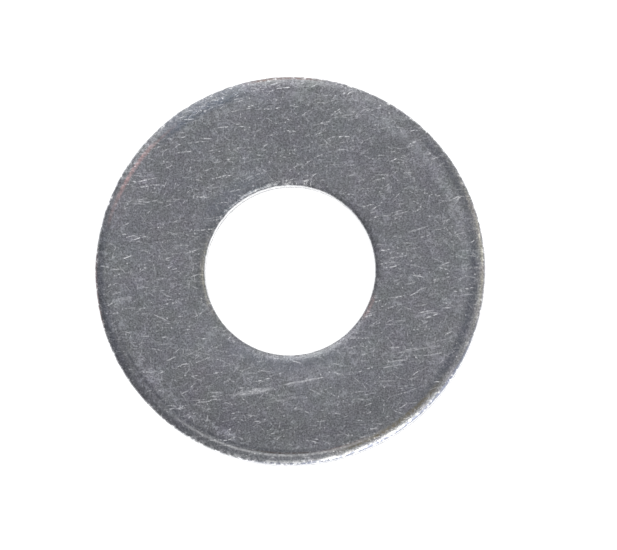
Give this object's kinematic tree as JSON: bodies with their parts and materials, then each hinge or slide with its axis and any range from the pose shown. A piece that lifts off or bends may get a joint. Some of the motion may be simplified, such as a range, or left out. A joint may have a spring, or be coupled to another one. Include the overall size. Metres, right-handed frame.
{
  "type": "flat washer",
  "caption": "Round flat washer of zinc-plated steel with a plain central hole and punched edges.",
  "frame": {"origin": "centre of the hole at the bottom face, which is the burr side that the washer rests on", "axes": "+Z along the axis of the hole, out of the top face, which is the side with rolled edges; +X and +Y are any two radii"},
  "size_m": [0.0254, 0.0254, 0.0021],
  "materials": {
    "zinc_plated_steel": "satin bright zinc plating with a clear blue-grey passivate, fine tumbling marks and scratches"
  },
  "bodies": {
    "root": {"flat_washer": "zinc_plated_steel"}
  },
  "joints": []
}
